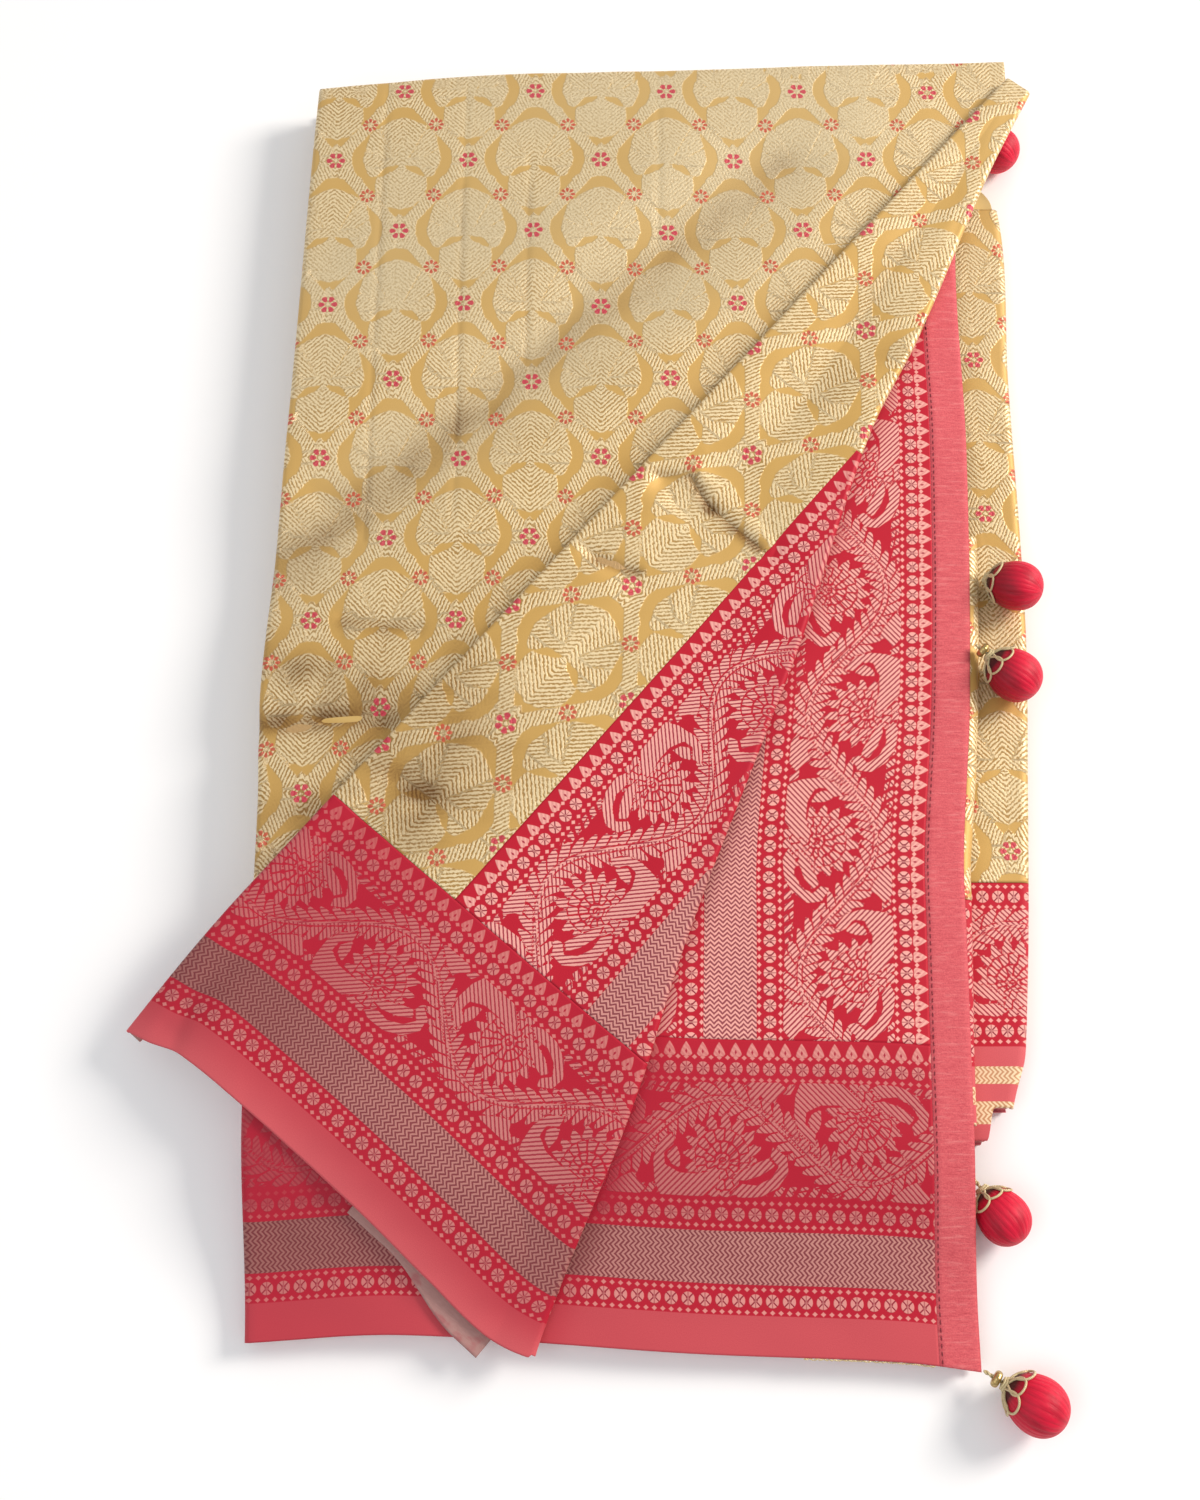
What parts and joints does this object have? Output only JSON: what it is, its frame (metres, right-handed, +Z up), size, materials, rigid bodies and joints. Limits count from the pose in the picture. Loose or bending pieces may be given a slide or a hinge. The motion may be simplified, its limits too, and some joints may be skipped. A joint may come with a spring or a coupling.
{
  "type": "folded saree",
  "caption": "Brocade saree folded flat, its decorated end turned over the top as a slanting flap, with tassels along the side edge.",
  "frame": {"origin": "point on the flat underside, below the middle of the folded cloth", "axes": "+X towards the edge with the tassels, +Y along the folded length towards the fold end, +Z up"},
  "size_m": [0.3982, 0.622, 0.0363],
  "materials": {
    "zari_gold": "gold figured brocade, soft metallic sheen",
    "crimson_brocade": "crimson brocade with rose gold figuring",
    "coral_silk": "plain coral pink weave",
    "reverse_weave": "dull reverse side with floats",
    "tassel_silk": "crimson silk, wrapped",
    "tassel_thread": "pale gold looped thread",
    "tassel_bead": "small polished bead"
  },
  "bodies": {
    "root": {"folded_layers": "zari_gold", "body_field": "zari_gold", "lower_border": "crimson_brocade", "pallu_panel": "crimson_brocade", "pallu_hem": "coral_silk", "side_strip_body": "zari_gold", "side_strip_border": "crimson_brocade", "inner_fold_body": "zari_gold", "inner_fold_border": "crimson_brocade", "flap_body": "zari_gold", "flap_pallu": "crimson_brocade", "flap_border": "crimson_brocade", "flap_turn_under": "reverse_weave", "tassel_1_ball": "tassel_silk", "tassel_1_cap": "tassel_thread", "tassel_2_ball": "tassel_silk", "tassel_2_cap": "tassel_thread", "tassel_3_ball": "tassel_silk", "tassel_3_cap": "tassel_thread", "tassel_4_ball": "tassel_silk", "tassel_4_cap": "tassel_thread", "tassel_5_ball": "tassel_silk", "tassel_5_cap": "tassel_thread", "tassel_1_bead": "tassel_bead", "tassel_3_bead": "tassel_bead", "tassel_5_bead": "tassel_bead"}
  },
  "joints": []
}
